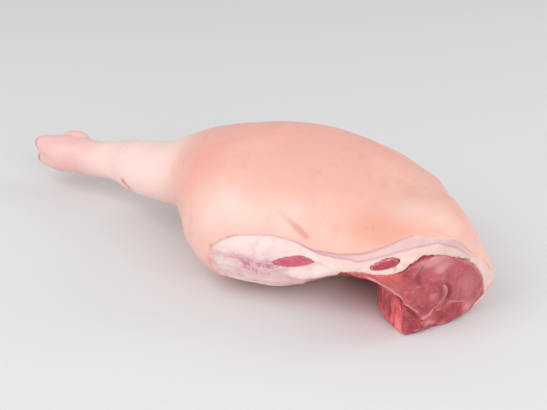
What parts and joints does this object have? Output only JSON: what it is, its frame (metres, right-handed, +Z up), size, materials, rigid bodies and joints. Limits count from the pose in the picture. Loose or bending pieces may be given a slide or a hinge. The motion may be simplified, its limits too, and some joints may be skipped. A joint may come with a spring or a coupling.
{
  "type": "raw pork leg",
  "caption": "Raw hind leg of pork with skin, fat and foot on, lying on its inner side, with the lean meat showing at the butt cut and under the flank.",
  "frame": {"origin": "on the table under the middle of the leg's bounding box", "axes": "+X along the leg from the toes to the butt, -Y towards the flank side, +Z up, with the leg lying on its inner side"},
  "size_m": [0.734, 0.3096, 0.183],
  "materials": {
    "skin_and_fat": "moist raw skin over white fat",
    "lean_meat": "wet cut meat"
  },
  "bodies": {
    "root": {"skin_and_fat": "skin_and_fat", "lean_meat": "lean_meat"}
  },
  "joints": []
}
